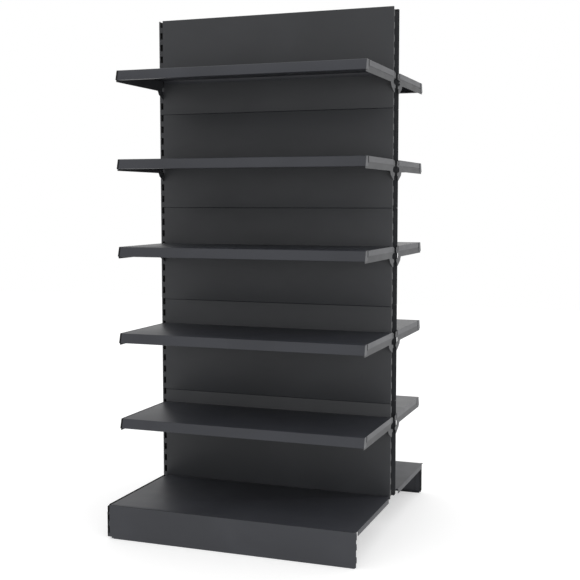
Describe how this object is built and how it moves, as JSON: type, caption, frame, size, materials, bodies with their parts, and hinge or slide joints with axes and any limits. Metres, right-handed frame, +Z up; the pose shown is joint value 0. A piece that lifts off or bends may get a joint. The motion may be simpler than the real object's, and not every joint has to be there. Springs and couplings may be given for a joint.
{
  "type": "double-sided gondola shelving bay",
  "caption": "Extension bay of double-sided gondola shelving: slotted upright, back panels, hooked brackets, lift-off shelves with a price-strip nose, base shelves and plinths on both sides.",
  "frame": {"origin": "on the floor, under the middle of the bounding box", "axes": "+X to the right along the bay, from the upright's end to the open end; +Y to the rear; +Z up"},
  "size_m": [1.055, 1.094, 2.124],
  "materials": {
    "upright_paint": "satin powder coat",
    "panel_paint": "satin powder coat",
    "bracket_paint": "satin powder coat",
    "shelf_paint": "satin powder coat",
    "base_paint": "satin powder coat",
    "leg_paint": "satin powder coat",
    "foot_zinc": "zinc plated"
  },
  "bodies": {
    "frame": {"front_base_leg": "leg_paint", "front_bracket_1_left": "bracket_paint", "front_bracket_1_right": "bracket_paint", "front_bracket_2_left": "bracket_paint", "front_bracket_2_right": "bracket_paint", "front_bracket_3_left": "bracket_paint", "front_bracket_3_right": "bracket_paint", "front_bracket_4_left": "bracket_paint", "front_bracket_4_right": "bracket_paint", "front_bracket_5_left": "bracket_paint", "front_bracket_5_right": "bracket_paint", "front_panel_1": "panel_paint", "front_panel_2": "panel_paint", "front_panel_3": "panel_paint", "front_panel_4": "panel_paint", "front_panel_5": "panel_paint", "rear_base_leg": "leg_paint", "rear_bracket_1_left": "bracket_paint", "rear_bracket_1_right": "bracket_paint", "rear_bracket_2_left": "bracket_paint", "rear_bracket_2_right": "bracket_paint", "rear_bracket_3_left": "bracket_paint", "rear_bracket_3_right": "bracket_paint", "rear_bracket_4_left": "bracket_paint", "rear_bracket_4_right": "bracket_paint", "rear_bracket_5_left": "bracket_paint", "rear_bracket_5_right": "bracket_paint", "rear_panel_1": "panel_paint", "rear_panel_2": "panel_paint", "rear_panel_3": "panel_paint", "rear_panel_4": "panel_paint", "rear_panel_5": "panel_paint", "upright": "upright_paint"},
    "front_base_shelf": {"front_base_shelf": "base_paint"},
    "front_inner_foot": {"front_inner_foot": "foot_zinc"},
    "front_outer_foot": {"front_outer_foot": "foot_zinc"},
    "front_plinth": {"front_plinth": "base_paint"},
    "front_shelf_1": {"front_shelf_1": "shelf_paint"},
    "front_shelf_2": {"front_shelf_2": "shelf_paint"},
    "front_shelf_3": {"front_shelf_3": "shelf_paint"},
    "front_shelf_4": {"front_shelf_4": "shelf_paint"},
    "front_shelf_5": {"front_shelf_5": "shelf_paint"},
    "rear_base_shelf": {"rear_base_shelf": "base_paint"},
    "rear_inner_foot": {"rear_inner_foot": "foot_zinc"},
    "rear_outer_foot": {"rear_outer_foot": "foot_zinc"},
    "rear_plinth": {"rear_plinth": "base_paint"},
    "rear_shelf_1": {"rear_shelf_1": "shelf_paint"},
    "rear_shelf_2": {"rear_shelf_2": "shelf_paint"},
    "rear_shelf_3": {"rear_shelf_3": "shelf_paint"},
    "rear_shelf_4": {"rear_shelf_4": "shelf_paint"},
    "rear_shelf_5": {"rear_shelf_5": "shelf_paint"}
  },
  "joints": [
    {"name": "front_base_shelf_lift", "type": "slide", "parent": "frame", "child": "front_base_shelf", "axis": [0, 0, 1], "range_m": [0, 0.12]},
    {"name": "front_inner_foot_screw", "type": "slide", "parent": "frame", "child": "front_inner_foot", "axis": [0, 0, 1], "range_m": [-0.015, 0]},
    {"name": "front_outer_foot_screw", "type": "slide", "parent": "frame", "child": "front_outer_foot", "axis": [0, 0, 1], "range_m": [-0.015, 0]},
    {"name": "front_plinth_pull", "type": "slide", "parent": "frame", "child": "front_plinth", "axis": [0, -1, 0], "range_m": [0, 0.12]},
    {"name": "front_shelf_1_lift", "type": "slide", "parent": "frame", "child": "front_shelf_1", "axis": [0, 0, 1], "range_m": [0, 0.12]},
    {"name": "front_shelf_2_lift", "type": "slide", "parent": "frame", "child": "front_shelf_2", "axis": [0, 0, 1], "range_m": [0, 0.12]},
    {"name": "front_shelf_3_lift", "type": "slide", "parent": "frame", "child": "front_shelf_3", "axis": [0, 0, 1], "range_m": [0, 0.12]},
    {"name": "front_shelf_4_lift", "type": "slide", "parent": "frame", "child": "front_shelf_4", "axis": [0, 0, 1], "range_m": [0, 0.12]},
    {"name": "front_shelf_5_lift", "type": "slide", "parent": "frame", "child": "front_shelf_5", "axis": [0, 0, 1], "range_m": [0, 0.12]},
    {"name": "rear_base_shelf_lift", "type": "slide", "parent": "frame", "child": "rear_base_shelf", "axis": [0, 0, 1], "range_m": [0, 0.12]},
    {"name": "rear_inner_foot_screw", "type": "slide", "parent": "frame", "child": "rear_inner_foot", "axis": [0, 0, 1], "range_m": [-0.015, 0]},
    {"name": "rear_outer_foot_screw", "type": "slide", "parent": "frame", "child": "rear_outer_foot", "axis": [0, 0, 1], "range_m": [-0.015, 0]},
    {"name": "rear_plinth_pull", "type": "slide", "parent": "frame", "child": "rear_plinth", "axis": [0, 1, 0], "range_m": [0, 0.12]},
    {"name": "rear_shelf_1_lift", "type": "slide", "parent": "frame", "child": "rear_shelf_1", "axis": [0, 0, 1], "range_m": [0, 0.12]},
    {"name": "rear_shelf_2_lift", "type": "slide", "parent": "frame", "child": "rear_shelf_2", "axis": [0, 0, 1], "range_m": [0, 0.12]},
    {"name": "rear_shelf_3_lift", "type": "slide", "parent": "frame", "child": "rear_shelf_3", "axis": [0, 0, 1], "range_m": [0, 0.12]},
    {"name": "rear_shelf_4_lift", "type": "slide", "parent": "frame", "child": "rear_shelf_4", "axis": [0, 0, 1], "range_m": [0, 0.12]},
    {"name": "rear_shelf_5_lift", "type": "slide", "parent": "frame", "child": "rear_shelf_5", "axis": [0, 0, 1], "range_m": [0, 0.12]}
  ]
}
